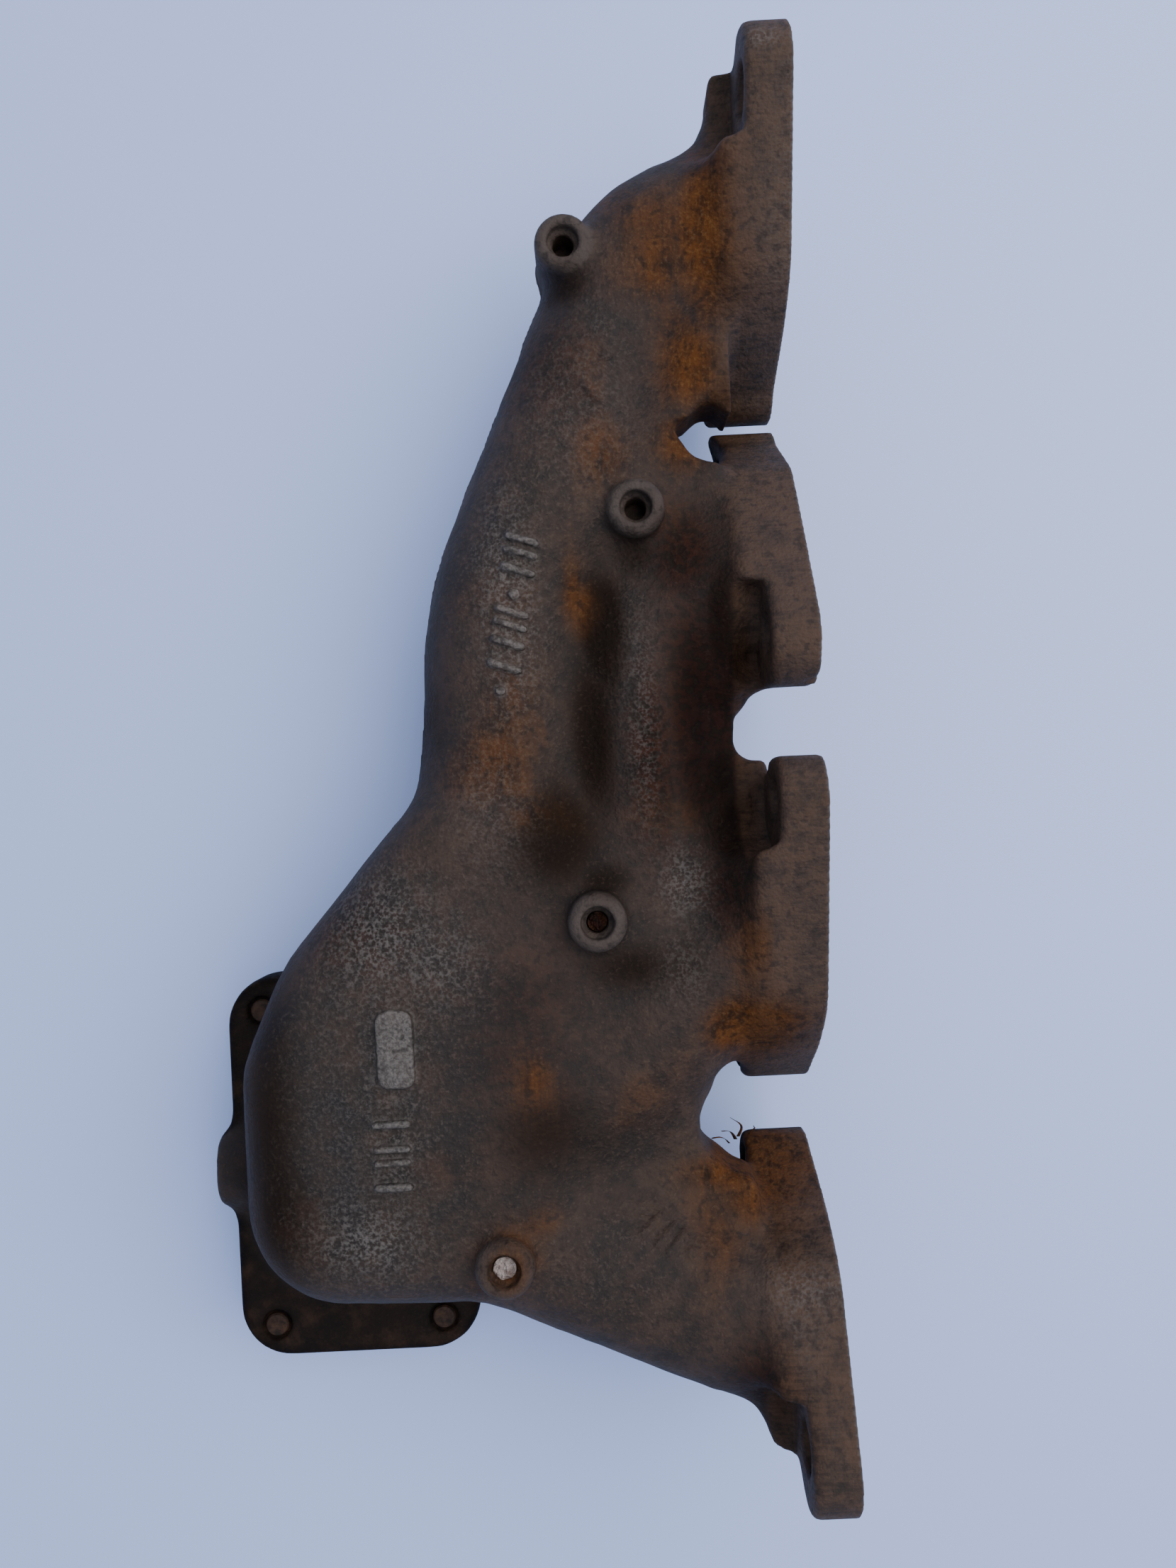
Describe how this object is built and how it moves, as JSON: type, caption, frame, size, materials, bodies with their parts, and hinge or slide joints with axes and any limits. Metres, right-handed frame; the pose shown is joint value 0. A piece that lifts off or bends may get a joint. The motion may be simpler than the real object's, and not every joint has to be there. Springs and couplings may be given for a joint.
{
  "type": "exhaust manifold",
  "caption": "Cast-iron turbo exhaust manifold: separate head flanges, curved runners into one collector, studded turbo flange, heat-shield bosses.",
  "frame": {"origin": "centre of the turbo stud pattern, on the turbo flange's joint face", "axes": "+Z away from the turbocharger, square to the turbo flange; +X square to the head joint plane, towards the cylinder head; +Y along the row of ports, towards port 1"},
  "size_m": [0.175, 0.3796, 0.1001],
  "materials": {
    "cast_iron": "sand-cast grey iron with dark scale, orange-brown rust and worn grey ridges",
    "stud_steel": "rusted threaded steel",
    "seized_steel": "broken, crusted bolt metal"
  },
  "bodies": {
    "root": {"port_flange_1": "cast_iron", "port_flange_2": "cast_iron", "port_flange_3": "cast_iron", "port_flange_4": "cast_iron", "collector": "cast_iron", "collector_throat": "cast_iron", "outlet_neck": "cast_iron", "runner_1": "cast_iron", "long_runner_upper": "cast_iron", "long_runner_lower": "cast_iron", "runner_2": "cast_iron", "runner_3": "cast_iron", "runner_4": "cast_iron", "web_1_2": "cast_iron", "web_3_4": "cast_iron", "turbo_flange": "cast_iron", "brace_boss": "cast_iron", "shield_boss_1": "cast_iron", "shield_boss_2": "cast_iron", "shield_boss_3": "cast_iron", "shield_boss_4": "cast_iron", "turbo_stud_1": "stud_steel", "turbo_stud_2": "stud_steel", "turbo_stud_3": "stud_steel", "turbo_stud_4": "stud_steel", "broken_bolt_3": "seized_steel", "broken_bolt_4": "seized_steel"}
  },
  "joints": []
}
